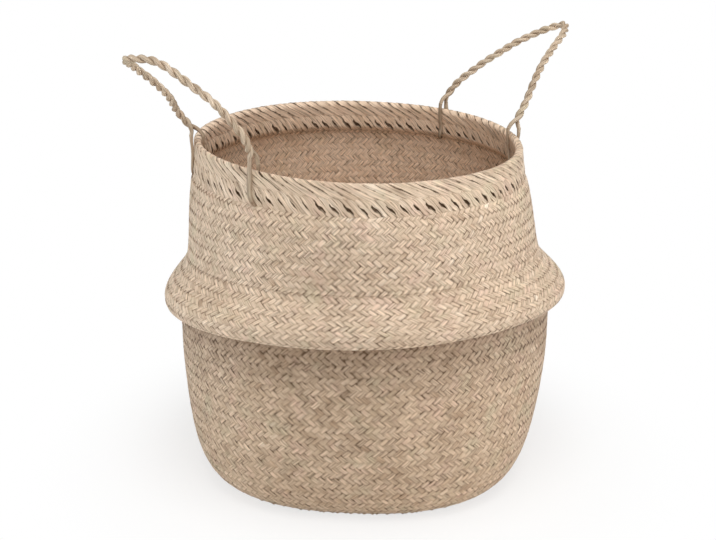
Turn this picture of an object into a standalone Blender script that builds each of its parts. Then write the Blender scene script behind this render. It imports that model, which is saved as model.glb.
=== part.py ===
"""A belly basket: a plaited sedge basket whose wall bulges and folds back at
mid height, with a turned-over rim band and two rope handles. Metres, +Z up,
the origin on the floor under the centre of the base, handles along X."""

import bmesh
import bpy
from math import atan2, cos, hypot, pi, radians, sin
from mathutils import Matrix, Vector

# Clearance between two pieces that touch
touch_gap = 0.0003

# The plaited wall and its turned-over band
wall = 0.0022
band_ply = 0.0018

# Base and lower wall, outer sizes
base_radius = 0.135
foot_run = 0.030
side_drop = 0.042
side_rise = 0.045
fold_level = 0.171
corner_power = 2.45
corner_top_level = 0.112
corner_turn = radians(7)

# The lower wall's hidden top, turned in behind the crease
ridge_rise = 0.024
ridge_inset = 0.020

# Belly, which overhangs the lower wall and turns under it nearly level
belly_radius = 0.195
belly_overhang = 0.015
roll_height = 0.010
roll_drop = 0.008
roll_run = 0.013
belly_round = 0.011

# Neck, set in from the belly and a little wider than the rim
neck_inset = 0.025
shoulder_height = 0.037
shoulder_run = 0.004
shoulder_rise = 0.014
neck_swell = 0.008
neck_drop = 0.009
neck_lean = 0.007

# Rim band
rim_radius = 0.150
rim_level = 0.322
band_height = 0.025
band_flare = 0.0045

# Handles and their lashings
rope_radius = 0.0039
strand_radius = 0.0020
anchor_half_angle = radians(21.2)
handle_length = 0.128
left_lean = radians(45.4)
right_lean = radians(52.2)
left_bow = 0.009
right_bow = 0.006
left_drift = -0.004
right_drift = -0.012

# Half the distance between the rope's legs, in shares of half the distance
# between its lashings, at these shares of the handle's length
leg_rise_shares = (0.0, 0.2, 0.45, 0.7, 0.88, 1.0)
leg_width_shares = (1.0, 1.07, 0.84, 0.59, 0.37, 0.0)

# Fineness of the round shapes
turn_steps = 56
curve_steps = 5
rope_points = 34
loop_points = 10

# What follows from the sizes above
wall_radius = belly_radius - belly_overhang
wall_level = fold_level - side_drop
fold_radius = wall_radius + touch_gap
belly_level = fold_level + roll_height
neck_foot_radius = belly_radius - neck_inset
neck_foot_level = belly_level + shoulder_height
band_half = wall / 2 + touch_gap + band_ply
band_bottom = rim_level - band_height
rim_middle = rim_radius - band_half
neck_top_radius = rim_radius + neck_swell
neck_top_level = band_bottom - neck_drop
strand_reach = band_half + touch_gap + strand_radius
hinge_level = rim_level + 2 * (touch_gap + strand_radius) + rope_radius
anchor_half_chord = rim_middle * sin(anchor_half_angle)
hinge_reach = rim_middle * cos(anchor_half_angle)


def clear_scene():
    for obj in list(bpy.data.objects):
        bpy.data.objects.remove(obj, do_unlink=True)


def new_collection(name, shown=True):
    made = bpy.data.collections.new(name)
    bpy.context.scene.collection.children.link(made)
    made.hide_render = not shown
    return made


def sedge(name, colour, roughness):
    made = bpy.data.materials.new(name)
    made.use_nodes = True
    surface = made.node_tree.nodes["Principled BSDF"]
    surface.inputs["Base Color"].default_value = (*colour, 1.0)
    surface.inputs["Roughness"].default_value = roughness
    surface.inputs["Metallic"].default_value = 0.0
    made.diffuse_color = (*colour, 1.0)
    return made


def add(name, data, collection, material=None, parent=None):
    made = bpy.data.objects.new(name, data)
    collection.objects.link(made)
    made.parent = parent
    if material:
        data.materials.append(material)
    return made


def bend(start, first, second, end, steps=curve_steps):
    """Points of a cubic curve, the start left out and the end kept."""
    found = []
    for step in range(1, steps + 1):
        t = step / steps
        u = 1 - t
        shares = (u**3, 3 * u * u * t, 3 * u * t * t, t**3)
        points = (start, first, second, end)
        found.append(tuple(sum(s * p[axis] for s, p in zip(shares, points)) for axis in (0, 1)))
    return found


def inset(points, depth):
    """The same line moved inwards by depth, for a line that runs from the top down."""
    moved = []
    for index, (radius, level) in enumerate(points):
        before = points[max(index - 1, 0)]
        after = points[min(index + 1, len(points) - 1)]
        along, down = after[0] - before[0], after[1] - before[1]
        length = hypot(along, down)
        moved.append((radius + down / length * depth, level - along / length * depth))
    return moved


def shell_outline(points, top="square", foot="square"):
    """The wall's closed section inside its outer line. Each end is square to the
    line, level like a floor or upright like a post."""
    inner = inset(points, wall)
    for index, end in ((0, top), (-1, foot)):
        if end == "level":
            inner[index] = (points[index][0] - wall, points[index][1])
        if end == "upright":
            inner[index] = (points[index][0], points[index][1] + wall)
    return points + inner[::-1]


def turned(name, outline, collection, material):
    """A closed outline of (radius, level) points turned about the Z axis."""
    mesh = bpy.data.meshes.new(name)
    count = len(outline)
    edges = [(index, (index + 1) % count) for index in range(count)]
    mesh.from_pydata([(radius, 0.0, level) for radius, level in outline], edges, [])
    made = add(name, mesh, collection, material)
    screw = made.modifiers.new("turn", "SCREW")
    screw.steps = screw.render_steps = turn_steps
    screw.use_merge_vertices = True
    screw.merge_threshold = touch_gap / 10
    return made


def applied(obj, collection):
    """The object's shape with its modifiers, as a plain mesh object under its name."""
    bpy.context.view_layer.update()
    graph = bpy.context.evaluated_depsgraph_get()
    mesh = bpy.data.meshes.new_from_object(obj.evaluated_get(graph))
    name, place = obj.name, obj.matrix_world.copy()
    bpy.data.objects.remove(obj, do_unlink=True)
    shape = bmesh.new()
    shape.from_mesh(mesh)
    bmesh.ops.remove_doubles(shape, verts=shape.verts, dist=touch_gap / 10)
    shape.to_mesh(mesh)
    shape.free()
    made = add(name, mesh, collection)
    made.matrix_world = place
    return made


def square_share(angle, level):
    """How far a rounded-square ring reaches, as a share of the round one. It is
    round from corner_top_level up and squarest on the floor."""
    low = min(max(1 - level / corner_top_level, 0.0), 1.0)
    power = 2 + (corner_power - 2) * low * low * (3 - 2 * low)
    side = angle - corner_turn + pi / 4
    return (abs(cos(side)) ** power + abs(sin(side)) ** power) ** (-1 / power)


def make_square(obj):
    for vertex in obj.data.vertices:
        share = square_share(atan2(vertex.co.y, vertex.co.x), vertex.co.z)
        vertex.co.x *= share
        vertex.co.y *= share


def shade(obj):
    obj.data.shade_smooth()
    obj.data.set_sharp_from_angle(angle=radians(50))


def tube(name, points, radius, collection, material=None, parent=None, closed=False, radii=None):
    """A wire through the points, with filled ends unless it is closed."""
    curve = bpy.data.curves.new(name, "CURVE")
    curve.dimensions = "3D"
    curve.bevel_depth = radius
    curve.bevel_resolution = 2
    curve.use_fill_caps = not closed
    spline = curve.splines.new("POLY")
    spline.points.add(len(points) - 1)
    for index, place in enumerate(points):
        spline.points[index].co = (*place, 1.0)
        spline.points[index].radius = radii[index] if radii else 1.0
    spline.use_cyclic_u = closed
    return add(name, curve, collection, material, parent)


def smooth_path(points, count):
    """Evenly spaced places along a smooth line through the points."""
    dense = []
    steps = 12
    for index in range(len(points) - 1):
        before = points[max(index - 1, 0)]
        start, end = points[index], points[index + 1]
        after = points[min(index + 2, len(points) - 1)]
        for step in range(steps):
            t = step / steps
            dense.append(
                0.5 * (2 * start + (end - before) * t
                       + (2 * before - 5 * start + 4 * end - after) * t * t
                       + (3 * start - before - 3 * end + after) * t**3)
            )
    dense.append(points[-1])
    reached = [0.0]
    for one, two in zip(dense, dense[1:]):
        reached.append(reached[-1] + (two - one).length)
    found, index = [], 0
    for number in range(count):
        goal = reached[-1] * number / (count - 1)
        while index < len(dense) - 2 and reached[index + 1] < goal:
            index += 1
        share = (goal - reached[index]) / (reached[index + 1] - reached[index])
        found.append(dense[index].lerp(dense[index + 1], min(share, 1.0)))
    return found


def lower_wall_line():
    """Outer line of the lower wall, from its hidden top down to the mat."""
    side = (wall_radius, wall_level)
    crease = (wall_radius, fold_level + wall)
    ridge = (wall_radius - ridge_inset, fold_level + ridge_rise)
    turn = (wall_radius, fold_level + ridge_rise / 3)
    lean = (wall_radius - ridge_inset / 2, fold_level + 2 * ridge_rise / 3)
    foot = (base_radius, 0.0)
    line = [ridge] + bend(ridge, lean, turn, crease) + [side]
    line += bend(side, (wall_radius, wall_level - side_rise), (base_radius + foot_run, 0.0), foot, 8)
    return line


def belly_line():
    """Outer line of the belly, from the neck's foot down and back under to the crease."""
    foot = (neck_foot_radius, neck_foot_level)
    widest = (belly_radius, belly_level)
    lip = (fold_radius, fold_level)
    line = [foot]
    line += bend(foot, (neck_foot_radius + shoulder_run, neck_foot_level - shoulder_rise),
                 (belly_radius, belly_level + belly_round), widest)
    line += bend(widest, (belly_radius, belly_level - roll_drop),
                 (fold_radius + roll_run, fold_level), lip)
    return line


def neck_line():
    """Outer line of the neck, from its edge inside the rim band down to the belly."""
    slot = band_ply + touch_gap
    edge = (rim_radius - slot, rim_level - band_half)
    band_foot = (rim_radius + band_flare - slot, band_bottom)
    top = (neck_top_radius, neck_top_level)
    foot = (neck_foot_radius, neck_foot_level + touch_gap)
    line = [edge, band_foot] + bend(band_foot, band_foot, top, top, 2)
    return line + bend(top, (neck_top_radius + neck_lean, neck_top_level - band_height),
                       (neck_foot_radius - shoulder_run, neck_foot_level + shoulder_rise), foot)


def band_outline():
    """The rim band in section: two plies with the neck's edge between them."""
    thick = 2 * band_half
    inner = thick - band_ply

    def arch(radius):
        return [(rim_middle + radius * sin(pi * (0.5 - step / 6)),
                 rim_level - band_half + radius * cos(pi * (0.5 - step / 6))) for step in range(7)]

    outside = [(rim_radius + band_flare, band_bottom)] + arch(band_half)
    outside += [(rim_radius + band_flare - thick, band_bottom)]
    inside = [(rim_radius + band_flare - inner, band_bottom)] + arch(band_half - band_ply)[::-1]
    inside += [(rim_radius + band_flare - band_ply, band_bottom)]
    return (outside + inside)[::-1]


def lashing_path(angle):
    """A closed loop round the rim band and through the wall under it, in the
    upright plane at this angle."""
    outward = Vector((cos(angle), sin(angle), 0.0))
    top, bottom = [], []
    for step in range(loop_points):
        turn = pi * (step / (loop_points - 1) - 0.5)
        across, up = strand_reach * sin(turn), strand_reach * cos(turn)
        top.append(outward * (rim_middle + across) + Vector((0.0, 0.0, rim_level - band_half + up)))
        bottom.append(outward * (rim_middle + band_flare - across) + Vector((0.0, 0.0, band_bottom - up)))
    return top + bottom


def rope_path(bow, drift):
    """The rope from one lashing over the top to the other. X points outwards,
    Z along the handle and Y along the line that it swings about."""
    legs = []
    for rise, width in zip(leg_rise_shares, leg_width_shares):
        out = -bow * 4 * rise * (1 - rise)
        legs.append((width * anchor_half_chord, drift * rise, rise * handle_length, out))
    left = [Vector((out, shift - half, up)) for half, shift, up, out in legs]
    right = [Vector((out, shift + half, up)) for half, shift, up, out in legs[:-1]]
    return smooth_path(left + right[::-1], rope_points)


def rope_with_round_ends(path):
    """The rope's places and radii, with a half ball about each end."""
    places, radii = list(path), [1.0] * len(path)
    for end, following in ((0, 1), (-1, -2)):
        away = (path[end] - path[following]).normalized()
        for turn in (radians(30), radians(60), radians(80)):
            place = path[end] + away * rope_radius * sin(turn)
            at = 0 if end == 0 else len(places)
            places.insert(at, place)
            radii.insert(at, cos(turn))
    return places, radii


def make_handle(side, direction, lean, bow, drift, collection, material):
    """A rope handle whose parent empty lies on the line that it swings about."""
    hinge = bpy.data.objects.new(side + "_handle_hinge", None)
    collection.objects.link(hinge)
    outward = Vector((cos(direction), sin(direction), 0.0))
    hinge.matrix_world = (
        Matrix.Translation(outward * hinge_reach + Vector((0.0, 0.0, hinge_level)))
        @ Matrix.Rotation(direction, 4, "Z")
        @ Matrix.Rotation(lean, 4, "Y")
    )
    places, radii = rope_with_round_ends(rope_path(bow, drift))
    tube(side + "_handle_rope", places, rope_radius, collection, material, hinge, radii=radii)


def cut(obj, cutter):
    cutter.hide_render = True
    cutter.display_type = "WIRE"
    difference = obj.modifiers.new(cutter.name, "BOOLEAN")
    difference.operation = "DIFFERENCE"
    difference.object = cutter


def main():
    clear_scene()
    basket = new_collection("belly_basket")
    cutters = new_collection("cutters", shown=False)
    pale = sedge("pale_sedge", (0.56, 0.42, 0.30), 0.75)
    warm = sedge("warm_sedge", (0.48, 0.34, 0.23), 0.78)
    rope = sedge("rope_sedge", (0.46, 0.33, 0.21), 0.8)

    # Base mat: one flat ply inside the foot of the wall
    mat_mesh = bpy.data.meshes.new("base_mat")
    shape = bmesh.new()
    mat_radius = base_radius - touch_gap
    bmesh.ops.create_cone(shape, cap_ends=True, segments=turn_steps,
                          radius1=mat_radius, radius2=mat_radius, depth=wall)
    bmesh.ops.translate(shape, verts=shape.verts, vec=(0.0, 0.0, wall / 2))
    shape.to_mesh(mat_mesh)
    shape.free()
    mat = add("base_mat", mat_mesh, basket, warm)
    make_square(mat)

    # Lower wall: rounded square at the floor, round at the crease
    lower = turned("lower_wall", shell_outline(lower_wall_line(), foot="upright"), basket, warm)
    lower = applied(lower, basket)
    make_square(lower)
    shade(lower)

    # Belly: bulged out and rolled back under, ending round the lower wall
    belly = turned("belly_fold", shell_outline(belly_line(), "level", "upright"), basket, pale)
    shade(belly)

    # Neck and the band that is turned over its edge
    neck = turned("neck_wall", shell_outline(neck_line(), "level", "level"), basket, pale)
    shade(neck)
    band = turned("rim_band", band_outline(), basket, pale)
    shade(band)

    # Lashings: each rope end goes round the band and through the wall
    for side, direction in (("left", pi), ("right", 0.0)):
        for end, turn in (("front", -1), ("back", 1)):
            angle = direction + turn * cos(direction) * anchor_half_angle
            name = f"{side}_{end}_lashing"
            path = lashing_path(angle)
            tube(name, path, strand_radius, basket, rope, closed=True)
            hole = tube(name + "_hole", path, strand_radius + touch_gap, cutters, closed=True)
            cut(neck, applied(hole, cutters))

    # Handles, leaning outwards
    make_handle("left", pi, left_lean, left_bow, left_drift, basket, rope)
    make_handle("right", 0.0, right_lean, right_bow, right_drift, basket, rope)


main()
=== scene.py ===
"""Belly basket: plaited sedge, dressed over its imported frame. Metres, +Z up, handles along X."""
from math import cos, pi, radians, sin

import bpy
import numpy as np
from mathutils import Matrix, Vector


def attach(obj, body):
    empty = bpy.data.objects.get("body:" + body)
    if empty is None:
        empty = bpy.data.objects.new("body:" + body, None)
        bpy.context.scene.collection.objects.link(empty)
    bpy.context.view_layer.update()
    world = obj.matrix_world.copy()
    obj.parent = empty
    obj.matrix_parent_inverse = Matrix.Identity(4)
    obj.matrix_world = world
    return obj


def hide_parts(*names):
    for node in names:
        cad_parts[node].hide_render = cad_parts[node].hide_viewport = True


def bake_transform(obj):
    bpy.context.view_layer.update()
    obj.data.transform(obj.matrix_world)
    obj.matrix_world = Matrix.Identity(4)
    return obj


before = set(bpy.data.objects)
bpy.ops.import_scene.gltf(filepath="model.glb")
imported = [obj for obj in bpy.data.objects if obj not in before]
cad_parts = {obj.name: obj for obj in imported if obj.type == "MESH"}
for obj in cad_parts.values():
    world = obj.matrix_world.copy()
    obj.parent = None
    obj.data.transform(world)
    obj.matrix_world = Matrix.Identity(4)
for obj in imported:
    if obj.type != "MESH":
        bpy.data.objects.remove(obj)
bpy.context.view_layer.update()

# Base mat. The start of the plait: flat sedge strips laid square to each
# other, two over and two under, with the mat's corners rounded off.
mat_radius, mat_level = 0.1425, 0.0012
corner_turn, corner_power, corner_top_level = radians(7), 2.45, 0.112
strip_width, strip_thickness, half_cover_share = 0.00435, 0.00048, 0.505
strip_corners = ((-1, 0.5), (1, 0.5), (1, -0.5), (-1, -0.5))
weave_lift, weave_squareness, float_rows = 0.00046, 1.9, 4
tuck_start, tuck_fall, tuck_most = 0.27, 0.8, 0.7
# Inner faces: painted paler and warmer, painted light standing in for the warm light bouncing round inside
# the basket
tone_evenness, inside_painted_light, inside_warm_bounce = 9.0, 0.46, 0.5
warm_bounce_colour = (0.880, 0.610, 0.420)
fibre_contrast, rib_contrast, drift_contrast, patch_contrast = 0.9, 1.1, 0.7, 0.9
spot_sharpness = 6.0
# Painted shade: how strong it is where strips tuck under, along their edges and in the grooves between their
# ribs
tuck_shade_base, tuck_patchiness = 0.8, 0.6
edge_shade_base, edge_patchiness, edge_power = 0.20, 0.85, 4.0
groove_level, groove_shade_strength, groove_patchiness = 0.41, 3.2, 1.4
sedge_roughness, rib_gloss, sedge_shine, bump_strength, fibre_bump = 0.62, 0.3, 0.35, 0.6, 0.6
crease_angle = radians(70)
edge_share, lane_gap, lane_end_gap, cap_size, most_columns = 0.1, 0.0008, 0.002, 0.0002, 40
shortest_step = 0.001


def square_share(turn, level):
    """How far a rounded-square ring reaches, as a share of the round one."""
    low = np.clip(1 - level / corner_top_level, 0, 1)
    power = 2 + (corner_power - 2) * low * low * (3 - 2 * low)
    side = turn - corner_turn + pi / 4
    return (np.abs(np.cos(side)) ** power + np.abs(np.sin(side)) ** power) ** (-1 / power)


def weave_height(place):
    """A strip's height along its run, from 1 over to -1 under, two strips at a time."""
    wave = np.sin(2 * pi * (place + 0.5) / float_rows)
    return np.tanh(weave_squareness * wave) / np.tanh(weave_squareness)


def float_end(over):
    """How dark a strip is painted by its height: painted shade where it is tucked under another."""
    return np.clip(tuck_start - tuck_fall * over, 0, tuck_most)


class Wire:
    """A shader socket that takes part in sums."""

    def __init__(self, tree, socket=None):
        self.tree, self.socket = tree, socket

    def node(self, kind, settings=None, result=0, **values):
        """A new node: its kind, what is set on it first, then its sockets by name or number.
        It comes back as one of its results, if it has any."""
        made = self.tree.nodes.new("ShaderNode" + kind)
        for name, value in (settings or {}).items():
            if name == "stops":
                ramp = made.color_ramp
                while len(ramp.elements) < len(value):
                    ramp.elements.new(0.5)
                for element, (place, colour) in zip(ramp.elements, value):
                    element.position, element.color = place, (*colour, 1.0)
            else:
                setattr(made, name, value)
        for name, value in values.items():
            numbered = name.startswith("in") and name[2:].isdigit()
            socket = made.inputs[int(name[2:]) if numbered else name.replace("_", " ")]
            if isinstance(value, Wire):
                self.tree.links.new(value.socket, socket)
            elif isinstance(value, tuple) and len(value) == 3 and socket.type == "RGBA":
                socket.default_value = (*value, 1.0)
            else:
                socket.default_value = value
        return Wire(self.tree, made.outputs[result] if made.outputs else None)

    def sum(self, operation, one, two=0.0, clamp=False):
        """A Math node on two values."""
        return self.node("Math", {"operation": operation, "use_clamp": clamp}, in0=one, in1=two)

    def __add__(self, other):
        return self.sum("ADD", self, other)

    def __radd__(self, other):
        return self.sum("ADD", other, self)

    def __sub__(self, other):
        return self.sum("SUBTRACT", self, other)

    def __rsub__(self, other):
        return self.sum("SUBTRACT", other, self)

    def __mul__(self, other):
        return self.sum("MULTIPLY", self, other)

    def __rmul__(self, other):
        return self.sum("MULTIPLY", other, self)

    def __pow__(self, other):
        return self.sum("POWER", self, other)

    def held(self):
        """The same value, held between 0 and 1."""
        return self.sum("ADD", self, 0.0, clamp=True)

    def blend(self, start, end):
        """Start where this is 0, end where it is 1, for colours."""
        mix = {"data_type": "RGBA", "clamp_factor": True}
        return self.node("Mix", mix, result=2, in0=self, in6=start, in7=end)


def sedge(name, tones, tucked, olive, rosy, fibre_relief=0.00022):
    """Dried sedge: a tone for each strip, fibres along it, painted shade where it tucks under, at its edges
    and between its ribs, and painted warm light on its inner faces.
    """
    material = bpy.data.materials.new(name)
    material.use_nodes = True
    material.node_tree.nodes.clear()
    start = Wire(material.node_tree)
    marks = ("tone", "tuck", "edge", "inner")
    tone, tuck, edge, inner = (start.node("Attribute", {"attribute_name": mark}, result=2) for mark in marks)
    lane = start.node("UVMap", {"uv_map": "lane"})
    solid = start.node("TexCoord", result=3)

    def streaks(along, across, detail):
        """Noise drawn out along each strip, by its changes per metre both ways."""
        run = start.node("Mapping", {"vector_type": "POINT"}, Vector=lane, Scale=(along, across, 1.0))
        flat = {"noise_dimensions": "2D"}
        return start.node("TexNoise", flat, Vector=run, Scale=1.0, Detail=detail, Roughness=0.55)

    def spots(scale, level, most):
        """Soft spots where a noise rises above the level."""
        noise = start.node("TexNoise", {}, Vector=solid, Scale=scale, Detail=2.0, Roughness=0.5)
        return ((noise - level) * spot_sharpness).held() * most

    fibres = streaks(along=60.0, across=2600.0, detail=3.0)
    ribs = streaks(along=30.0, across=820.0, detail=2.0)
    drift = streaks(along=60.0, across=40.0, detail=1.0)
    patch = start.node("TexNoise", {}, Vector=solid, Scale=26.0, Detail=3.0, Roughness=0.6)
    shade = (tone + (drift - 0.5) * drift_contrast + (patch - 0.5) * patch_contrast).held()
    colour = start.node("ValToRGB", {"stops": tones}, Fac=shade)
    colour = spots(scale=43.0, level=0.54, most=0.50).blend(colour, olive)
    colour = spots(scale=61.0, level=0.56, most=0.48).blend(colour, rosy)
    # Painted warm bounce light on the inner faces
    colour = (inner * inside_warm_bounce).blend(colour, warm_bounce_colour)
    light = 1.0 + (fibres - 0.5) * fibre_contrast + (ribs - 0.5) * rib_contrast
    lit = start.node("CombineColor", Red=light, Green=light, Blue=light)
    multiply = {"data_type": "RGBA", "blend_type": "MULTIPLY"}
    colour = start.node("Mix", multiply, result=2, in0=1.0, in6=colour, in7=lit)
    # Painted shade, blended towards the tucked colour, where a strip tucks under, along its edges, more in
    # patches, and in the grooves between its ribs
    gaps = spots(scale=170.0, level=0.49, most=1.0)
    ends = tuck * (gaps * tuck_patchiness + tuck_shade_base)
    edges = edge.sum("ABSOLUTE", edge) ** edge_power * (gaps * edge_patchiness + edge_shade_base)
    grooves = (groove_level - ribs).held() * groove_shade_strength * (patch * groove_patchiness)
    colour = (ends + edges + grooves).held().blend(colour, tucked)
    relief = fibres * fibre_bump + ribs
    bump = start.node("Bump", {}, Strength=bump_strength, Distance=fibre_relief, Height=relief)
    gloss = sedge_roughness + (0.5 - ribs) * rib_gloss
    surface = start.node("BsdfPrincipled", {}, Base_Color=colour, Roughness=gloss, Normal=bump,
                         Specular_IOR_Level=sedge_shine)
    start.node("OutputMaterial", {}, Surface=surface)
    return material


warm_tones = (
    (0.00, (0.340, 0.230, 0.145)), (0.22, (0.440, 0.315, 0.210)), (0.42, (0.495, 0.370, 0.255)),
    (0.60, (0.540, 0.405, 0.285)), (0.80, (0.600, 0.460, 0.330)), (1.00, (0.680, 0.550, 0.410)),
)
warm_sedge = sedge("warm_sedge_strips", warm_tones, tucked=(0.12, 0.066, 0.034),
                   olive=(0.460, 0.400, 0.270), rosy=(0.560, 0.380, 0.290))


def put(name, data):
    """A new object in the scene that holds this mesh, lamp or camera."""
    made = bpy.data.objects.new(name, data)
    bpy.context.scene.collection.objects.link(made)
    return made


def make_mesh(name, points, corners, marks, baked, lanes, material):
    """A mesh object of four-cornered faces, with a value for each mark at each point
    and its two flat layouts, one for baking and one in metres along each strip."""
    mesh = bpy.data.meshes.new(name)
    mesh.vertices.add(len(points))
    mesh.vertices.foreach_set("co", points.astype(np.float32).ravel())
    mesh.loops.add(corners.size)
    mesh.loops.foreach_set("vertex_index", corners.astype(np.int32).ravel())
    mesh.polygons.add(len(corners))
    mesh.polygons.foreach_set("loop_start", np.arange(0, corners.size, 4, dtype=np.int32))
    mesh.update(calc_edges=True)
    for label, values in marks.items():
        mark = mesh.attributes.new(label, "FLOAT", "POINT")
        mark.data.foreach_set("value", values.astype(np.float32).ravel())
    mesh.uv_layers.new(name="OFBake").uv.foreach_set("vector", baked.astype(np.float32).ravel())
    mesh.uv_layers.new(name="lane").uv.foreach_set("vector", lanes.astype(np.float32).ravel())
    mesh.uv_layers.active = mesh.uv_layers["OFBake"]
    mesh.shade_smooth()
    mesh.set_sharp_from_angle(angle=crease_angle)
    mesh.materials.append(material)
    return put(name, mesh)


def own_lanes(middle, half):
    """Where the side faces of like strips lie on their own flat lanes, in metres, and how
    long each strip is. Across a lane come the upper side, an edge, the under side and the
    other edge."""
    count, steps = middle.shape[:2]
    leg = np.linalg.norm(np.diff(middle, axis=1), axis=2)
    reach = np.concatenate([np.zeros((count, 1)), np.cumsum(leg, axis=1)], axis=1)
    before, after = reach[:, :-1], reach[:, 1:]
    over, under = np.linspace(0, 1, half), np.linspace(1 + edge_share, 2 + edge_share, half)
    side = np.concatenate([over, under, [2 + 2 * edge_share]])
    lane = np.empty((count, steps - 1, half * 2, 4, 2))
    lane[..., 0] = np.stack([before, after, after, before], axis=-1)[:, :, None, :]
    lane[..., 1] = np.stack([side[:-1], side[:-1], side[1:], side[1:]], axis=-1) * strip_width
    return lane.reshape(count, -1, 4, 2), reach[:, -1]


def lanes_on_sheet(batches):
    """All lanes, stacked in columns on a square sheet with a small square for each face
    that closes an end, and the sheet's size. A batch holds its strips' lanes, their
    lengths and how many faces close one strip's ends."""
    pitch = strip_width * (2 + 2 * edge_share) + lane_gap
    total = sum(len(lengths) for _, lengths, _ in batches)
    longest = max(lengths.max() for _, lengths, _ in batches) + lane_end_gap

    def sheet_size(columns):
        return max(columns * longest, -(-total // columns) * pitch)

    columns = min(range(1, most_columns), key=sheet_size)
    tall = -(-total // columns)
    cap = np.array([(0, 0), (0, cap_size), (cap_size, cap_size), (cap_size, 0)])
    laid, number = [], 0
    for lane, lengths, ends in batches:
        index = number + np.arange(len(lengths))
        offset = np.stack([(index // tall) * longest, (index % tall) * pitch], axis=-1)
        laid.append((lane + offset[:, None, None, :]).reshape(-1, 4, 2))
        laid.append(offset.repeat(ends, axis=0)[:, None, :] + cap)
        number += len(lengths)
    return np.concatenate(laid).reshape(-1, 2), sheet_size(columns)


def lay_strips(name, batches, material, body, stands_for, seed):
    """One piece of flat closed strips. Each batch holds the lines along its strips,
    going round them, half above and half under, as arrays of strips by steps by 3,
    with how far it is tucked at each step, as painted shade seen from above and
    from under, and 1 where its upper side faces into the basket."""
    chance = np.random.default_rng(seed)
    places, faces, lanes = [], [], []
    tucks, edges, tones, inners = [], [], [], []
    start = 0
    for *lines, tuck, tuck_under, inside in batches:
        (count, steps), half = tuck.shape, len(lines) // 2
        places.append(np.stack(lines, axis=2).reshape(-1, 3))
        tucks.append(np.stack([tuck] * half + [tuck_under] * half, axis=2).reshape(-1))
        across = np.linspace(-1, 1, half)
        edges.append(np.tile(np.concatenate([across, -across]), count * steps))
        inside = np.broadcast_to(inside, tuck.shape)
        inner = np.stack([inside] * half + [1 - inside] * half, axis=2)
        inners.append(inner.reshape(-1))
        tone = chance.beta(tone_evenness, tone_evenness, count)[:, None, None]
        # Inner faces painted paler: painted light
        tones.append((tone + inside_painted_light * inner).reshape(-1))
        corner = start + np.arange(count * steps * half * 2).reshape(count, steps, half * 2)
        one, two = corner[:, :-1], corner[:, 1:]
        sides = np.stack([one, two, np.roll(two, -1, axis=2), np.roll(one, -1, axis=2)], axis=-1)
        closed = np.array([(k, k + 1, -k - 2, -k - 1) for k in range(half - 1)])
        caps = np.stack([corner[:, 0][:, closed], corner[:, -1][:, closed[:, ::-1]]], axis=1)
        faces += [sides.reshape(-1, 4), caps.reshape(-1, 4)]
        lanes.append((*own_lanes((lines[0] + lines[half - 1]) / 2, half), 2 * len(closed)))
        start += corner.size
    lanes, sheet = lanes_on_sheet(lanes)
    marks = {"tuck": tucks, "edge": edges, "tone": tones, "inner": inners}
    marks = {label: np.concatenate(values) for label, values in marks.items()}
    made = make_mesh(name, np.concatenate(places), np.concatenate(faces), marks, lanes / sheet, lanes,
                     material)
    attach(made, body)
    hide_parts(*stands_for)


def mat_strips(across):
    """The mat's strips one way, cut off along its rounded outline."""
    ring = np.radians(np.arange(-90, 91, 1.0))
    reach = mat_radius * square_share(ring + corner_turn, 0.0)
    side, ahead = reach * np.cos(ring), reach * np.sin(ring)
    found = []
    number = int(reach.max() / strip_width)
    for index in range(-number, number + 1):
        middle = index * strip_width
        if abs(middle) > ahead.max() - strip_width / 2:
            continue
        far = np.interp(middle, ahead, side)
        run = np.append(np.arange(-far, far - shortest_step, strip_width / 2), far)
        place = np.round(run / strip_width * 2) / 2 - (index if across else -index)
        height = weave_height(place if across else -place) * (1 if across else -1) * weave_lift
        lines = []
        for edge, rise in strip_corners:
            cross = np.full_like(run, middle + edge * half_cover_share * strip_width)
            x, y = (run, cross) if across else (-cross, run)
            spun_x = x * cos(corner_turn) - y * sin(corner_turn)
            spun_y = x * sin(corner_turn) + y * cos(corner_turn)
            level = mat_level + height + rise * strip_thickness
            lines.append(np.stack([spun_x, spun_y, level], axis=-1)[None])
        over = (height / weave_lift)[None]
        # Painted shade where a strip tucks under, seen from above and from under
        found.append((*lines, float_end(over), float_end(-over), 1.0))
    return found


lay_strips("base_mat_plait", mat_strips(True) + mat_strips(False), warm_sedge,
           "lower_basket", ["base_mat"], seed=5)

# Lower wall. The same strips turned up and carried round on the slant, from
# the square foot to the round crease, and on behind it as the fold's hidden ply.
strips_round = 166
wall = 0.0022
wall_inset = wall / 2
lap = 0.00006
bow_steps = 40
steepest_share, flattest_share = 0.86, 0.5
base_radius, foot_run, turn_up = 0.135, 0.034, 0.003
wall_radius, side_rise = 0.180, 0.040
wall_level, fold_level = 0.129, 0.171
ridge_rise, ridge_inset = 0.024, 0.020
rim_level, belly_level = 0.322, 0.181
view_right, view_near = np.array([0.835, -0.550]), np.array([-0.550, -0.835])
rim_sway, rim_nod, rim_shift, rim_swell, rim_spread = -0.0257, -0.0188, -0.0050, 0.060, 0.016
lip_spread, lip_shift = 0.016, 0.0008
belly_sway, belly_nod, belly_saddle, belly_wave, belly_pinch = 0.0260, 0.0440, 0.0033, -0.0009, 0.01
wave_height, wave_full_level = 0.0007, 0.06
least_square, least_radius = 0.0001, 0.02
repeat_places = np.array([-0.5, -0.12, 0.5, 1.12, 1.5, 1.88, 2.5, 3.12])
repeats = np.arange(-8, 60)
end_gap, end_run = 0.4, 0.6
# The last shares scale each strip's painted shade where it tucks under
width_shares, lift_shares, tuck_shade_shares = (0.975, 1.03), (0.8, 1.25), (0.3, 1.4)
stray_share, wander_share, wander_rate, wander_phases = 0.02, 0.03, 0.35, (0, 6.3)
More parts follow.
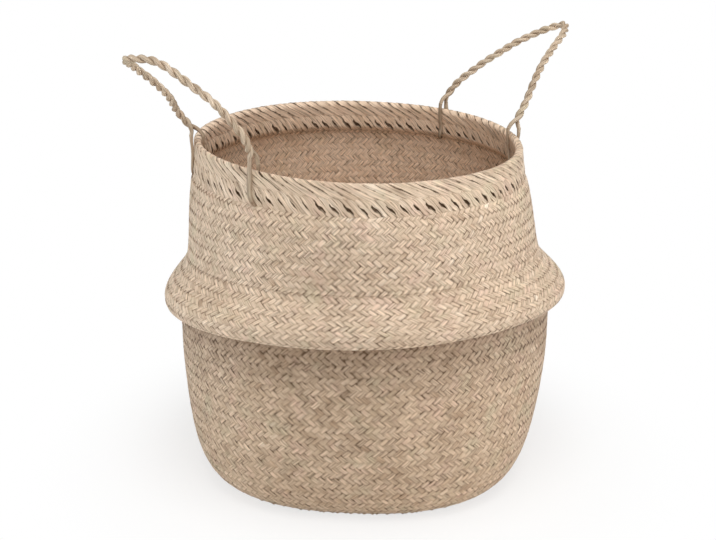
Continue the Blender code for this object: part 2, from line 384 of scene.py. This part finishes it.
# The inner faces' painted shade: a share of it, and a cut that takes it below none, as painted light inside
# the basket
inside_tuck_shade_share, inside_shade_cut = 0.7, 0.1
# Rows are counted downwards, and the crease is this row of both walls
fold_row = 55.0
# Painted shade under the belly's overhang, strongest in the crease
belly_shade_most, belly_shade_rows, belly_shade_power = 0.50, 21, 1.3


def outline(start, *bows):
    """A smooth line of (radius, level) through cubic bows, each given by its two
    handles and its end."""
    t = np.linspace(0, 1, bow_steps + 1)[1:, None]
    u = 1 - t
    line = [np.array([start])]
    for bow in bows:
        first, second, end = (np.array(point) for point in bow)
        line.append(u**3 * line[-1][-1] + 3 * u * u * t * first + 3 * u * t * t * second + t**3 * end)
    return np.concatenate(line)


def settled(x, y, level):
    """The basket as it stands: not quite level or round, as hand plaiting leaves it."""
    high = np.clip((level - belly_level) / (rim_level - belly_level), 0, 1)
    middle = np.where(level > belly_level, 1 - high, np.clip(level / belly_level, 0, 1))
    across, near = x * view_right[0] + y * view_right[1], x * view_near[0] + y * view_near[1]
    turn = np.arctan2(near, across)
    wave = np.sin(3 * turn + 1.0 + 9 * level) + np.sin(5 * turn + 4.0 - 14 * level)
    wave = wave * wave_height * np.clip(level / wave_full_level, 0, 1)
    saddle = (near**2 - across**2) / np.maximum(near**2 + across**2, least_square)
    sway, nod = rim_sway * high + belly_sway * middle, rim_nod * high + belly_nod * middle
    level = level + across * sway + near * nod
    level = level + (saddle * belly_saddle + np.cos(4 * turn) * belly_wave) * middle
    wider = 1 + rim_spread * high**3 + lip_spread * high**8
    across = across * wider + rim_shift * high + lip_shift * high**8
    near = near * (1 + rim_swell * high - belly_pinch * middle)
    x, y = across * view_right[0] + near * view_near[0], across * view_right[1] + near * view_near[1]
    size = 1 + wave / np.maximum(np.hypot(x, y), least_radius)
    return np.stack([x * size, y * size, level], axis=-1)


class Rows:
    """The plait's rows along an outline: how far down each lies and which way it faces."""

    def __init__(self, line, first_row, inset=wall_inset, row_height=None):
        step = np.hypot(*np.diff(line, axis=0).T)
        if row_height is None:
            spacing = 2 * pi * (line[1:, 0] + line[:-1, 0]) / 2 / strips_round
            slant = np.arccos(np.clip(strip_width / spacing, flattest_share, steepest_share))
            row_height = strip_width / np.sin(slant) / 2
        self.row = first_row + np.concatenate([[0], np.cumsum(step / row_height)])
        way = np.gradient(line, axis=0)
        way /= np.linalg.norm(way, axis=1)[:, None]
        self.out = np.stack([-way[:, 1], way[:, 0]], axis=-1)
        self.line = line - self.out * inset
        self.first, self.last = self.row[0], self.row[-1]

    def place(self, turn, row, lift):
        """Points on the wall at these turns and rows, raised by lift."""
        radius, level, out, up = (np.interp(row, self.row, v) for v in (*self.line.T, *self.out.T))
        radius, level = radius + out * lift, level + up * lift
        radius = radius * square_share(turn, level)
        return settled(radius * np.cos(turn), radius * np.sin(turn), level)


def round_strips(rows, first, last, falling, seed, dark=None):
    """The strips that run one way round the wall between two rows, woven two over
    and two under. Falling strips go down to the right as seen from outside. Dark
    gives each row's painted shade. The same seed carries the same strips on."""
    chance = np.random.default_rng(seed)
    place = (repeat_places[None, :] + float_rows * repeats[:, None]).ravel()
    place = place[(place > first - end_gap) & (place < last + end_gap)]
    place = np.concatenate([[first - end_run], place, [last + end_run]])
    index = np.arange(strips_round)[:, None]
    way = 1 if falling else -1
    spacing = 2 * pi / strips_round
    shape = (strips_round, 1)
    cover = half_cover_share * chance.uniform(*width_shares, shape)
    stray = chance.normal(0, stray_share, shape)
    phase = chance.uniform(*wander_phases, shape)
    stray = stray + wander_share * np.sin(place[None] * wander_rate + phase)
    height = weave_height(place)[None] * way * weave_lift * chance.uniform(*lift_shares, shape)
    lines = []
    for side, rise in strip_corners:
        offset = side * cover + stray
        along = np.clip(place[None], first + way * offset, last + way * offset)
        row = along - way * offset
        turn = (index + way * along / 2 + offset / 2) * spacing
        lines.append(rows.place(turn, row, height + rise * strip_thickness - side * way * lap))
    if not falling:
        lines = [lines[1], lines[0], lines[3], lines[2]]
    # Painted shade where a strip tucks under, stronger on some strips than others, plus each row's painted
    # shade
    tuck_shade_share = chance.uniform(*tuck_shade_shares, height.shape)
    hidden = 0.0 if dark is None else dark(place)[None]
    outside = float_end(height / weave_lift) * tuck_shade_share + hidden
    # The inner faces get less painted shade, down to below none, so they are painted lighter: painted light
    # inside the basket
    inside = float_end(-height / weave_lift) * inside_tuck_shade_share + hidden - inside_shade_cut
    return [(*lines, np.clip(outside, 0, 1), np.clip(inside, -inside_shade_cut, 1), 0.0)]


def painted_shade_under_belly(row):
    """How much painted shade the lower wall has by its row, under the belly's overhang: most in the crease,
    none 60 mm below it.
    """
    return belly_shade_most * np.clip(1 - (row - fold_row) / belly_shade_rows, 0, 1) ** belly_shade_power


crease = (wall_radius, fold_level + wall)
lower_line = outline(
    (wall_radius - ridge_inset, fold_level + ridge_rise),
    ((wall_radius - ridge_inset / 2, fold_level + 2 * ridge_rise / 3),
     (wall_radius, fold_level + ridge_rise / 3), crease),
    (crease, (wall_radius, wall_level), (wall_radius, wall_level)),
    ((wall_radius, wall_level - side_rise), (base_radius + foot_run, 0.0), (base_radius + turn_up, 0.0)),
)
ridge_rows = Rows(lower_line[:bow_steps + 1], 0.0).last
lower_rows = Rows(lower_line, fold_row - ridge_rows)
for name, falling, seed in (("lower_wall_falling_strips", True, 11), ("lower_wall_rising_strips", False, 12)):
    strips = round_strips(lower_rows, lower_rows.first, lower_rows.last, falling, seed, painted_shade_under_belly)
    lay_strips(name, strips, warm_sedge, "lower_basket", ["lower_wall"], seed=seed + 20)

# Belly. The plait bulges to its widest place, turns back under itself nearly
# level and ends at the crease, where it lies on the lower wall.
belly_radius, belly_round = 0.195, 0.011
neck_foot_radius, neck_foot_level = 0.170, 0.218
shoulder_run, shoulder_rise = 0.004, 0.014
roll_drop, roll_run, fold_gap = 0.008, 0.013, 0.0003
fold_radius = wall_radius + fold_gap
neck_top_radius, neck_top_level, neck_lean = 0.158, 0.288, 0.007
rim_radius, band_half, band_slot = 0.150, 0.0032, 0.0021
band_bottom, band_height, band_flare = 0.297, 0.025, 0.0045
under_band = (rim_radius + band_flare - band_slot, band_bottom)
neck_top = (neck_top_radius, neck_top_level)
neck_edge = (rim_radius - band_slot, rim_level - band_half)
upper_line = outline(
    neck_edge,
    (neck_edge, under_band, under_band),
    (under_band, neck_top, neck_top),
    ((neck_top_radius + neck_lean, neck_top_level - band_height),
     (neck_foot_radius - shoulder_run, neck_foot_level + shoulder_rise),
     (neck_foot_radius, neck_foot_level)),
    ((neck_foot_radius + shoulder_run, neck_foot_level - shoulder_rise),
     (belly_radius, belly_level + belly_round), (belly_radius, belly_level)),
    ((belly_radius, belly_level - roll_drop), (fold_radius + roll_run, fold_level),
     (fold_radius, fold_level)),
)
pale_tones = (
    (0.00, (0.420, 0.300, 0.200)), (0.20, (0.540, 0.405, 0.290)), (0.40, (0.590, 0.460, 0.335)),
    (0.60, (0.645, 0.505, 0.375)), (0.80, (0.700, 0.565, 0.430)), (1.00, (0.790, 0.670, 0.540)),
)
pale_sedge = sedge("pale_sedge_strips", pale_tones, tucked=(0.14, 0.080, 0.043),
                   olive=(0.560, 0.490, 0.340), rosy=(0.660, 0.470, 0.370))
upper_rows = Rows(upper_line, fold_row - Rows(upper_line, 0.0).last)
slit_row, neck_foot_row = upper_rows.row[bow_steps], upper_rows.row[3 * bow_steps]
for name, falling, seed in (("belly_falling_strips", True, 13), ("belly_rising_strips", False, 14)):
    strips = round_strips(upper_rows, neck_foot_row, upper_rows.last, falling, seed)
    lay_strips(name, strips, pale_sedge, "upper_basket", ["belly_fold"], seed=seed + 20)

# Neck. The belly's strips run on up and end inside the rim band, where the wall
# is painted dark as the band's shade.
shadow_rows, shadow_fade = 0.9, 0.8


def in_band(row):
    """1 on the rows that the band covers, 0 below its slits: the painted shade under the band."""
    return np.clip((slit_row + shadow_rows - row) / shadow_fade, 0, 1)


for name, falling, seed in (("neck_falling_strips", True, 13), ("neck_rising_strips", False, 14)):
    strips = round_strips(upper_rows, upper_rows.first, neck_foot_row, falling, seed, in_band)
    lay_strips(name, strips, pale_sedge, "upper_basket", ["neck_wall"], seed=seed + 20)

# Rim band. The strips' ends in pairs, turned slantwise over the edge, tucked
# under and plaited down again on both sides, with a slit at every pair's foot.
ribbons_round = strips_round // 2
ribbon_pitch = 2 * pi * rim_radius / ribbons_round
ribbon_thickness, ribbon_crown, ribbon_inset = 0.0006, 0.65, 0.0009
per_metre = 1000
millimetre = 1 / per_metre
quarter_round_share = 0.5523
band_middle, arch_level = rim_radius - band_half, rim_level - band_half
arch = band_half - ribbon_inset
arch_in, arch_out, arch_top = band_middle - arch, band_middle + arch, arch_level + arch
round_off = quarter_round_share * arch
foot_out = rim_radius + band_flare - ribbon_inset
foot_in = rim_radius + band_flare - 2 * band_half + ribbon_inset
foot_rise, foot_drop = 0.0015, 0.0030
foot_level = band_bottom + foot_rise
tail_level, tail_gap = 0.2868, 0.0010
bend_level, bend_in, bend_out = 0.2925, 0.0060, 0.0040
band_line = outline(
    (neck_top_radius - wall_inset - tail_gap, tail_level),
    ((neck_top_radius - bend_in, bend_level), (foot_in, foot_level - foot_drop), (foot_in, foot_level)),
    ((foot_in, foot_level), (arch_in, arch_level), (arch_in, arch_level)),
    ((arch_in, arch_level + round_off), (band_middle - round_off, arch_top), (band_middle, arch_top)),
    ((band_middle + round_off, arch_top), (arch_out, arch_level + round_off), (arch_out, arch_level)),
    ((arch_out, arch_level), (foot_out, foot_level), (foot_out, foot_level)),
    ((foot_out, foot_level - foot_drop), (neck_top_radius - bend_out, bend_level),
     (neck_top_radius - wall_inset + tail_gap, tail_level)),
)
inside_reach = Rows(band_line[:3 * bow_steps + 1], 0.0, 0.0, millimetre).last
band_rows = Rows(band_line, -inside_reach, 0.0, millimetre)
ribbon_section = ((-1, 0.5), (0, ribbon_crown), (1, 0.5), (1, -0.5), (0, -0.5), (-1, -0.5))
ribbon_step = 0.8
gap_shares, ribbon_width_shares = (0.35, 1.35), (0.93, 1.04)
ribbon_lift_shares, lean_shares = (0.88, 1.12), (0.3, 1.7)
ribbon_stray, lift_stray = 0.00022, 0.3
lean_most, lean_fade, lean_least = 1.3, 12, 0.3
ribbon_tuck_lift, ribbon_tuck_rise, ribbon_tuck_most = 0.10, 0.7, 0.6


def slanted_ribbons(first, last, slants, lifts, shares, gaps, phase, seed, gap, slip, tilt):
    """One set of ribbons round the band between two distances from its edge, in
    millimetres and negative inside. Slants in degrees, lifts in millimetres and
    widths as shares of the ribbons' pitch are each given at distances from the
    edge. The gap narrows each ribbon where the gaps are, from the side of the slip."""
    chance = np.random.default_rng(seed)
    place = np.linspace(first, last, int(abs(last - first) / ribbon_step) + 2)
    far = np.abs(place)
    slant = np.radians(np.interp(far, *slants))
    run = np.cumsum(np.diff(place) / np.tan((slant[1:] + slant[:-1]) / 2))
    run = np.concatenate([[0.0], run]) / per_metre
    run -= np.interp(0.0, place, run) if first < 0 < last else run[0 if first < 0 else -1]
    shape = (ribbons_round, 1)
    narrow = np.interp(far, *gaps)[None] * gap * chance.uniform(*gap_shares, shape)
    share = np.interp(far, *shares)[None] * chance.uniform(*ribbon_width_shares, shape) - narrow
    half = share * ribbon_pitch / 2 * np.sin(slant)[None]
    middle = np.arange(ribbons_round)[:, None] + phase + narrow * slip / 2
    middle = middle * 2 * pi / ribbons_round
    middle = middle + (run[None] + chance.normal(0, ribbon_stray, shape)) / rim_radius
    lift = np.interp(far[None] + chance.normal(0, lift_stray, shape), *lifts)
    lift = lift * chance.uniform(*ribbon_lift_shares, shape)
    lean = tilt * chance.uniform(*lean_shares, shape)
    lean = lean * np.clip(lean_most - far / lean_fade, lean_least, 1)[None]
    lines = []
    for side, rise in ribbon_section:
        row = place[None] - side * half * np.cos(slant)[None] * per_metre
        turn = middle + side * half * np.sin(slant)[None] / rim_radius
        raised = lift / per_metre + side * lean + rise * ribbon_thickness
        lines.append(band_rows.place(turn, row, raised))
    # Painted shade where a ribbon lies low, diving into the wall
    tuck = np.clip((ribbon_tuck_lift - lift) * ribbon_tuck_rise, 0, ribbon_tuck_most)
    return (*lines, tuck, tuck, np.where(place < 0, 1.0, 0.0)[None])


over_reach, side_start, side_end = 18.5, 11.0, 33.0
over_edge = ((0, 30), (28, 31))
down_side = ((10, 16, 20, 27, 31, 34), (33, 41, 54, 55, 45, 44))
slits = ((20.6, 22.4, 26.6, 28.6), (0, 1, 1, 0))
fold_gaps = ((2.0, 3.5, 7.0, 9.5, 11.8, 12.6, 13.8, 14.8), (0, 1, 1, 0, 0, 1, 1, 0))
top_lift = ((0, 4, 11, 14.5, 18.5), (0.60, 0.80, 0.75, 0.30, -0.80))
top_share = ((0, 3, 8, 12, 18), (0.99, 1.00, 1.01, 1.05, 1.02))
foot_lift = ((11, 14.5, 17.5, 24, 27.5, 30.5, 33), (-0.60, 0.10, 0.65, 0.80, 0.70, 0.0, -0.45))
foot_share = ((10, 34), (0.53, 0.53))
band_sets = [slanted_ribbons(-over_reach, over_reach, over_edge, top_lift, top_share, fold_gaps,
                             phase=0.0, seed=41, gap=0.15, slip=0.0, tilt=0.00011)]
seed = 42
for side in (1, -1):
    for phase, slip in ((0.625, 1.0), (1.125, -1.0)):
        first, last = sorted((side * side_start, side * side_end))
        band_sets.append(slanted_ribbons(first, last, down_side, foot_lift, foot_share, slits,
                                         phase=side * phase, seed=seed, gap=0.19, slip=side * slip,
                                         tilt=0.0001))
        seed += 1
lay_strips("rim_band_ribbons", band_sets, pale_sedge, "upper_basket", ["rim_band"], seed=47)

# Handles. Two-ply twisted sedge rope, one loop on each side. Each end's plies
# part over the edge, one outside and one inside, and go on as a lashing.
hinge_level, anchor_half_angle = 0.3305, radians(21.2)
anchor_half_chord = band_middle * sin(anchor_half_angle)
hinge_reach = band_middle * cos(anchor_half_angle)
leg_rise_shares = (0.0, 0.2, 0.45, 0.7, 0.88, 1.0)
leg_width_shares = (1.0, 1.07, 0.84, 0.59, 0.37, 0.0)
ply_radius, ply_offset, rope_lay = 0.0021, 0.00165, 0.021
ply_end_level, ply_parting = 0.3262, 0.0053
outer_ply, inner_ply = band_middle + ply_parting, band_middle - ply_parting
strand_sides, lobe_count, lobe_share = 12, 3, 0.07
strand_tones, strand_gap = (0.4, 0.6), 0.001
cap_place, cap_step = -0.004, 0.006
rope_steps, curve_steps = 300, 24
foot_reach = 0.08
loose_narrowing_share, loose_flattening_share, groove_start = 0.05, 0.15, 0.1
rope_wind = 0.35
rope_tones = (
    (0.00, (0.270, 0.185, 0.115)), (0.25, (0.390, 0.295, 0.205)), (0.50, (0.485, 0.385, 0.280)),
    (0.75, (0.570, 0.465, 0.355)), (1.00, (0.680, 0.575, 0.460)),
)
rope_sedge = sedge("rope_sedge_strands", rope_tones, tucked=(0.17, 0.090, 0.042),
                   olive=(0.450, 0.400, 0.270), rosy=(0.530, 0.370, 0.260), fibre_relief=0.00035)


def unit(vectors):
    """The same directions, each of length one."""
    return vectors / np.linalg.norm(vectors, axis=-1, keepdims=True)


def lay_strands(name, strands, seed):
    """One piece of strands, each swept along its path: the path, the side that it
    faces, its half width, its half thickness, how fast its fibres wind and a tuck,
    its painted shade, for each corner."""
    chance = np.random.default_rng(seed)
    places, faces, tucks, tones, lanes = [], [], [], [], []
    start, across_sheet = 0, 0.0
    side = np.arange(strand_sides)
    turn = 2 * pi * side / strand_sides
    girth = 2 * pi * ply_radius / strand_sides
    cap = np.stack([np.cos(turn), np.sin(turn)], axis=-1) * ply_radius
    for path, facing, wide, thick, wind, tuck in strands:
        steps = len(path)
        ahead = unit(np.gradient(path, axis=0))
        facing = unit(facing - (facing * ahead).sum(-1, keepdims=True) * ahead)
        beside = np.cross(ahead, facing)
        reach = np.concatenate([[0.0], np.cumsum(np.linalg.norm(np.diff(path, axis=0), axis=1))])
        lobes = 1 + lobe_share * np.cos(lobe_count * turn[None] + reach[:, None] * wind / ply_radius)
        ring = beside[:, None] * (np.cos(turn) * wide[:, None] * lobes)[..., None]
        ring = ring + facing[:, None] * (np.sin(turn) * thick[:, None] * lobes)[..., None]
        places.append((path[:, None] + ring).reshape(-1, 3))
        corner = start + np.arange(steps * strand_sides).reshape(steps, strand_sides)
        one, two = corner[:-1], corner[1:]
        sides = np.stack([one, two, np.roll(two, -1, axis=1), np.roll(one, -1, axis=1)], axis=-1)
        faces.append(sides.reshape(-1, 4))
        before, after = reach[:-1], reach[1:]
        lane = np.empty((steps - 1, strand_sides, 4, 2))
        lane[..., 0] = np.stack([before, after, after, before], axis=-1)[:, None, :]
        lane[..., 1] = np.stack([side, side, side + 1, side + 1], axis=-1)[None] * girth
        lane[..., 1] += across_sheet
        lanes.append(lane.reshape(-1, 4, 2))
        for end, rim in ((0, side), (-1, side[::-1])):
            half = strand_sides // 2 - 1
            quads = np.array([(rim[k], rim[k + 1], rim[-k - 2], rim[-k - 1]) for k in range(half)])
            faces.append(corner[end][quads])
            lanes.append(cap[quads] + (cap_place + cap_step * end, across_sheet + ply_radius))
        tones.append(np.full(steps * strand_sides, chance.uniform(*strand_tones)))
        tucks.append(tuck.reshape(-1))
        start += corner.size
        across_sheet += girth * strand_sides + strand_gap
    lanes = np.concatenate(lanes).reshape(-1, 2)
    plain = np.zeros(start)
    marks = {"tuck": np.concatenate(tucks), "tone": np.concatenate(tones), "edge": plain, "inner": plain}
    baked = (lanes - lanes.min(axis=0)) / np.ptp(lanes, axis=0).max()
    return make_mesh(name, np.concatenate(places), np.concatenate(faces), marks, baked, lanes, rope_sedge)


def even_path(points, count):
    """Evenly spaced places along a smooth line through the points, and how far along each is."""
    dense = []
    t = np.arange(curve_steps)[:, None] / curve_steps
    for index in range(len(points) - 1):
        nearby = (points[min(max(index + k, 0), len(points) - 1)] for k in (-1, 0, 1, 2))
        before, start, end, after = nearby
        bend = 2 * before - 5 * start + 4 * end - after
        twist = 3 * start - before - 3 * end + after
        dense.append(0.5 * (2 * start + (end - before) * t + bend * t * t + twist * t**3))
    dense = np.concatenate([*dense, points[-1:]])
    reach = np.concatenate([[0.0], np.cumsum(np.linalg.norm(np.diff(dense, axis=0), axis=1))])
    goals = np.linspace(0, reach[-1], count)
    return np.stack([np.interp(goals, reach, axis) for axis in dense.T], axis=-1), goals


def foot_turn(direction, end, shift):
    """Where round the rim a rope's end stands: its handle's first end, -1, or last, 1."""
    return direction + np.arctan2(end * anchor_half_chord + shift, hinge_reach)


def loop_line(reach_up, bow, drift, swing, spread, skew):
    """A handle's middle line from foot to foot, as places outwards, along and up from its
    hinge. Bow bends its legs inwards, swing turns it about its upright, drift moves its
    top along, spread widens its legs, and skew lifts one leg above the other."""
    legs = [(rise, width * anchor_half_chord * (spread if rise else 1.0))
            for rise, width in zip(leg_rise_shares, leg_width_shares)]
    points = []
    for end, leg in ((-1, legs), (1, legs[-2::-1])):
        for rise, half in leg:
            out = end * swing * rise - bow * 4 * rise * (1 - rise)
            up = rise * reach_up + end * skew * half / anchor_half_chord * rise
            points.append((out, drift * rise + end * half, up))
    return even_path(np.array(points), rope_steps)


def lay_handle(side, direction, lean, feet, parted, seed, **loop):
    """A handle's rope, with its ends on the rim, where its
    plies are parted for a short way."""
    outward = np.array([cos(direction), sin(direction), 0.0])
    along = np.array([-sin(direction), cos(direction), 0.0])
    upright = outward * sin(lean) + np.array([0.0, 0.0, cos(lean)])
    out = outward * cos(lean) - np.array([0.0, 0.0, sin(lean)])
    hinge = outward * hinge_reach + np.array([0.0, 0.0, hinge_level])
    local, reach = loop_line(**loop)
    path = hinge + local[:, :1] * out + local[:, 1:2] * along + local[:, 2:] * upright
    length = reach[-1]
    ends = np.minimum(reach, length - reach)
    halves = (reach < length / 2, reach >= length / 2)
    turns_at = [foot_turn(direction, end, feet[number]) for number, end in enumerate((-1, 1))]
    # The rope's feet stand where the rim has settled. Place -number is its first or its last.
    for number, turn in enumerate(turns_at):
        goal = settled(band_middle * cos(turn), band_middle * sin(turn), hinge_level)
        near_end = np.clip(1 - np.abs(reach - reach[-number]) / foot_reach, 0, 1)[:, None]
        path = path + (goal - path[-number]) * near_end * near_end * (3 - 2 * near_end)
    ahead = unit(np.gradient(path, axis=0))
    facing = unit(out - (out * ahead).sum(-1, keepdims=True) * ahead)
    beside = np.cross(ahead, facing)
    twisted = length - sum(parted) / 2
    turns = round(twisted / rope_lay * 2) / 2
    wound = np.clip((reach - parted[0] / 2) / twisted, 0, 1) * turns * 2 * pi
    loose = np.clip(1 - ends / np.where(halves[0], parted[0], parted[1]), 0, 1)[:, None]
    loose = loose * loose * (3 - 2 * loose)
    corner = 2 * pi * np.arange(strand_sides) / strand_sides
    spoke = beside[:, None] * np.cos(corner)[None, :, None] + facing[:, None] * np.sin(corner)[None, :, None]
    strands = []
    for ply in (0, 1):
        round_rope = wound + pi * ply
        offset = facing * np.cos(round_rope)[:, None] + beside * np.sin(round_rope)[:, None]
        line = path + offset * ply_offset
        for number, turn in enumerate(turns_at):
            radius = outer_ply if np.cos(round_rope[-number]) > 0 else inner_ply
            foot = settled(radius * cos(turn), radius * sin(turn), ply_end_level)
            goal = foot + np.array([0.0, 0.0, 1.0]) * ends[:, None]
            line = np.where(halves[number][:, None], line * (1 - loose) + goal * loose, line)
        wide = np.full(len(line), ply_radius) * (1 - loose_narrowing_share * loose[:, 0])
        thick = wide * (1 - loose_flattening_share * loose[:, 0])
        # Painted shade on each ply's side that faces the other, in the groove between them, fading where the
        # plies part
        groove = np.clip(-(spoke * offset[:, None]).sum(-1) - groove_start, 0, 1)
        strands.append((line, facing, wide, thick, rope_wind, groove * (1 - loose)))
    made = lay_strands(side + "_handle_twisted_rope", strands, seed)
    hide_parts(side + "_handle_rope")
    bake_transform(made)


left_feet, right_feet = (-0.0038, -0.0043), (-0.0076, 0.0016)
lay_handle("left", direction=pi, lean=0.8013, feet=left_feet, parted=(0.008, 0.015), seed=51,
           reach_up=0.1278, bow=0.0059, drift=-0.0092, swing=-0.0044, spread=1.127, skew=0.0122)
lay_handle("right", direction=0.0, lean=0.9005, feet=right_feet, parted=(0.008, 0.007), seed=52,
           reach_up=0.1264, bow=0.0099, drift=-0.0105, swing=0.0012, spread=0.883, skew=-0.0005)

# Lashings. A flat ply at each rope end, lying on the band outside and inside
# and passed through the wall at a slit.
ply_lap = 0.002
lashing_steps, lashing_wind = 90, 0.1
lashing_route = np.array([
    (outer_ply, ply_end_level + ply_lap, 0.0), (outer_ply, 0.3220, -0.0003), (0.1532, 0.3120, -0.0012),
    (0.1551, 0.3020, -0.0010), (0.1560, 0.2965, 0.0010), (0.1557, 0.2925, 0.0035),
    (0.1535, 0.2903, 0.0045), (0.1490, 0.2910, 0.0035), (0.1462, 0.2950, 0.0015),
    (0.1453, 0.3020, 0.0), (0.1430, 0.3120, 0.0), (inner_ply - 0.0002, 0.3220, 0.0),
    (inner_ply, ply_end_level + ply_lap, 0.0),
])
half_widths = ((0, 0.08, 0.2, 0.42, 0.6, 0.92, 1), (0.0020, 0.0026, 0.0027, 0.0024, 0.0019, 0.0020, 0.0018))
half_thicknesses = ((0, 0.1, 0.3, 0.4, 0.9, 1), (0.0019, 0.0014, 0.0012, 0.0009, 0.0010, 0.0016))
# Painted shade along the lashing: darkest where it passes in through the slit, a little on the inside, and
# along its edges
lashing_tucks = ((0.0, 0.34, 0.42, 0.52, 0.62, 1.0), (0.0, 0.0, 0.7, 0.7, 0.15, 0.25))
edge_tuck = 0.3


def lay_lashing(name, turn, side, seed):
    """A lashing's strand in the upright plane at this turn. Its route gives radius,
    level and a drift round the rim: down outside, in through the slit and up inside."""
    line, _ = even_path(lashing_route, lashing_steps)
    angle = turn + side * line[:, 2] / rim_radius
    path = settled(line[:, 0] * np.cos(angle), line[:, 0] * np.sin(angle), line[:, 1])
    slope = np.gradient(line, axis=0)
    facing = np.stack([-slope[:, 1] * cos(turn), -slope[:, 1] * sin(turn), slope[:, 0]], axis=-1)
    share = np.linspace(0, 1, len(path))
    wide, thick = np.interp(share, *half_widths), np.interp(share, *half_thicknesses)
    edge = np.abs(np.cos(2 * pi * np.arange(strand_sides) / strand_sides)) ** 6
    # Painted shade along the strand and at its edges
    tuck = np.interp(share, *lashing_tucks)[:, None] + edge_tuck * edge[None]
    made = lay_strands(name + "_strand", [(path, facing, wide, thick, lashing_wind, tuck)], seed)
    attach(made, "upper_basket")
    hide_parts(name)


# Each handle's two ends, counter-clockwise as seen from above
seed = 53
for side, direction, feet, names in (("left", pi, left_feet, ("back", "front")),
                                     ("right", 0.0, right_feet, ("front", "back"))):
    for end, name, shift in zip((-1, 1), names, feet):
        lay_lashing(f"{side}_{name}_lashing", foot_turn(direction, end, shift), end, seed)
        seed += 1

# Studio. A plain pale floor that fades to white round the basket, a white
# surround, four soft lamps, and the camera where the photo was taken from.
floor_half, floor_colour = 6, (0.96, 0.96, 0.96)
fade_start, fade_end, shadow_share = 0.16, 0.34, 0.70
room_light = 0.36
near, right, up = Vector((*view_near, 0.0)), Vector((*view_right, 0.0)), Vector((0.0, 0.0, 1.0))
camera_distance, camera_shift, camera_level, camera_pitch = 1.2, 0.0055, 0.6034, radians(19.05)
focal_pixels, photo_width_pixels, sensor_width = 1296.9, 716, 36.0


def seen_directly(start):
    """1 for what the camera sees, also in a shine or through glass."""
    path = start.node("LightPath")
    sockets = path.socket.node.outputs
    glossy, passed = (Wire(start.tree, sockets[ray]) for ray in ("Is Glossy Ray", "Is Transmission Ray"))
    return path.sum("MAXIMUM", path, path.sum("MAXIMUM", glossy, passed))


floor_mesh = bpy.data.meshes.new("floor")
floor_corners = [(-floor_half, -floor_half, 0), (floor_half, -floor_half, 0),
                 (floor_half, floor_half, 0), (-floor_half, floor_half, 0)]
floor_mesh.from_pydata(floor_corners, [], [(0, 1, 2, 3)])
floor = put("floor", floor_mesh)
floor_paint = bpy.data.materials.new("floor_paint")
floor_paint.use_nodes = True
floor_paint.node_tree.nodes.clear()
start = Wire(floor_paint.node_tree)
place = start.node("TexCoord", result=3)
distance = start.node("VectorMath", {"operation": "LENGTH"}, result=1, in0=place)
whiter = start.node("MapRange", {"interpolation_type": "SMOOTHSTEP"}, Value=distance,
                    in1=fade_start, in2=fade_end, in3=shadow_share, in4=1.0)
lit = start.node("BsdfDiffuse", {}, Color=floor_colour)
white = start.node("Emission", {}, Color=(1.0, 1.0, 1.0), Strength=1.0)
mixed = start.node("MixShader", {}, in0=seen_directly(start) * whiter, in1=lit, in2=white)
start.node("OutputMaterial", {}, Surface=mixed)
floor_mesh.materials.append(floor_paint)

world = bpy.data.worlds.new("surround")
bpy.context.scene.world = world
world.use_nodes = True
world.node_tree.nodes.clear()
start = Wire(world.node_tree)
strength = seen_directly(start) * (1 - room_light) + room_light
glow = start.node("Background", {}, Color=(1.0, 1.0, 1.0), Strength=strength)
start.node("OutputWorld", {}, Surface=glow)

# Each lamp's place, the level on the basket's middle that it points at, its width, power and colour
lamps = (
    ("top_softbox", near * 0.6 + right * 0.1 + up * 2.0, 0.1, 1.2, 22.0, (1.0, 0.99, 0.97)),
    ("front_softbox", near * 2.1 + right * 0.1 + up * 1.1, 0.15, 1.0, 9.5, (1.0, 0.965, 0.93)),
    ("right_softbox", right * 1.6 + near * 0.5 + up * 0.05, 0.08, 0.4, 13.5, (1.0, 0.97, 0.94)),
    ("left_softbox", right * -1.7 + near * 0.1 + up * 0.05, 0.08, 0.4, 12.5, (0.94, 0.98, 1.0)),
)
for name, place, aim_level, size, power, colour in lamps:
    lamp = bpy.data.lights.new(name, "AREA")
    lamp.shape, lamp.size, lamp.energy, lamp.color = "DISK", size, power, colour
    made = put(name, lamp)
    made.location = place
    made.rotation_euler = (up * aim_level - place).to_track_quat("-Z", "Y").to_euler()

camera_data = bpy.data.cameras.new("camera")
camera_data.sensor_width = sensor_width
camera_data.lens = focal_pixels / photo_width_pixels * sensor_width
camera = put("camera", camera_data)
camera.location = near * camera_distance - right * camera_shift + up * camera_level
aim = -near * cos(camera_pitch) + Vector((0, 0, -sin(camera_pitch)))
camera.rotation_euler = aim.to_track_quat("-Z", "Y").to_euler()
bpy.context.scene.camera = camera
bpy.context.scene.view_settings.view_transform = "Standard"
